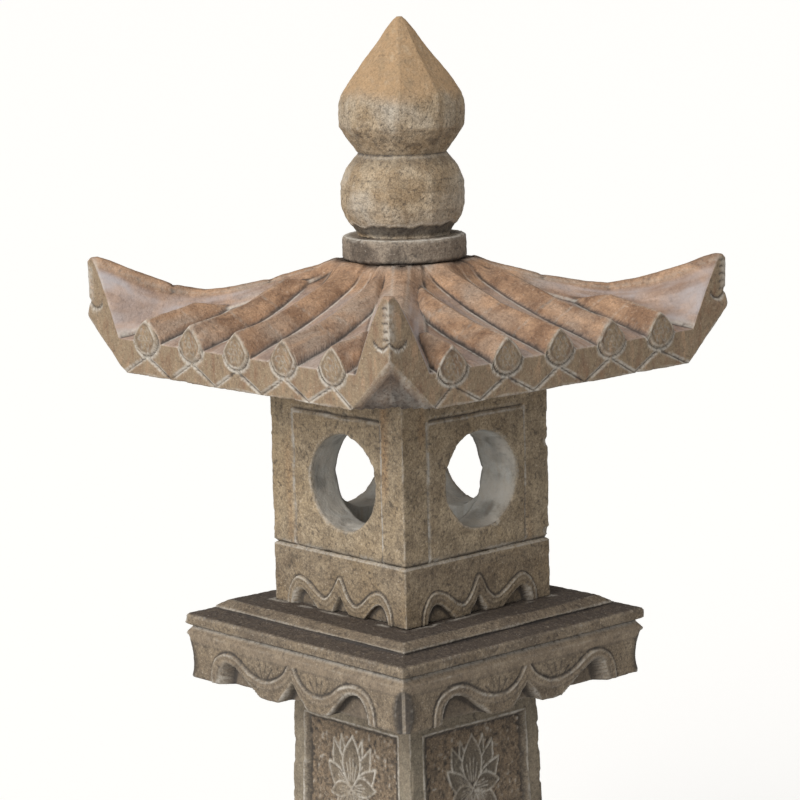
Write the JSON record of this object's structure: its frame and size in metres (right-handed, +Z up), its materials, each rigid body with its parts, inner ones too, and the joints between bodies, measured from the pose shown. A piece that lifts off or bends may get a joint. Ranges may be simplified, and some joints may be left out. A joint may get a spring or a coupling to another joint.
{
  "type": "stone lantern",
  "caption": "Square garden lantern of stacked carved stones: upturned tiled roof, double-gourd finial, hollow chamber with round windows, scalloped platform, tapered post and plinth.",
  "frame": {"origin": "on the ground, at the centre of the base stone's underside", "axes": "+Z up along the stack; the four square faces look along +X, -X, +Y and -Y"},
  "size_m": [0.554, 0.554, 1.435],
  "materials": {
    "body_stone": "rough bush-hammered brown-beige stone",
    "dark_stone": "rough weathered brown stone with dark grey flats",
    "roof_stone": "smoother worn orange-brown and lilac-grey stone",
    "seat_stone": "rough grey-brown stone",
    "finial_stone": "rough tooled warm beige stone"
  },
  "bodies": {
    "base": {"base": "dark_stone"},
    "shaft": {"shaft": "body_stone"},
    "platform": {"platform": "dark_stone"},
    "chamber_base": {"chamber_base": "body_stone"},
    "light_chamber": {"light_chamber": "body_stone"},
    "roof": {"roof": "roof_stone"},
    "finial_seat": {"finial_seat": "seat_stone"},
    "finial": {"finial": "finial_stone"}
  },
  "joints": [
    {"name": "shaft_lift", "type": "slide", "parent": "base", "child": "shaft", "axis": [0, 0, 1], "range_m": [0, 0.06]},
    {"name": "platform_lift", "type": "slide", "parent": "shaft", "child": "platform", "axis": [0, 0, 1], "range_m": [0, 0.06]},
    {"name": "chamber_base_lift", "type": "slide", "parent": "platform", "child": "chamber_base", "axis": [0, 0, 1], "range_m": [0, 0.06]},
    {"name": "light_chamber_lift", "type": "slide", "parent": "chamber_base", "child": "light_chamber", "axis": [0, 0, 1], "range_m": [0, 0.06]},
    {"name": "roof_lift", "type": "slide", "parent": "light_chamber", "child": "roof", "axis": [0, 0, 1], "range_m": [0, 0.15]},
    {"name": "finial_seat_lift", "type": "slide", "parent": "roof", "child": "finial_seat", "axis": [0, 0, 1], "range_m": [0, 0.05]},
    {"name": "finial_lift", "type": "slide", "parent": "finial_seat", "child": "finial", "axis": [0, 0, 1], "range_m": [0, 0.05]}
  ]
}
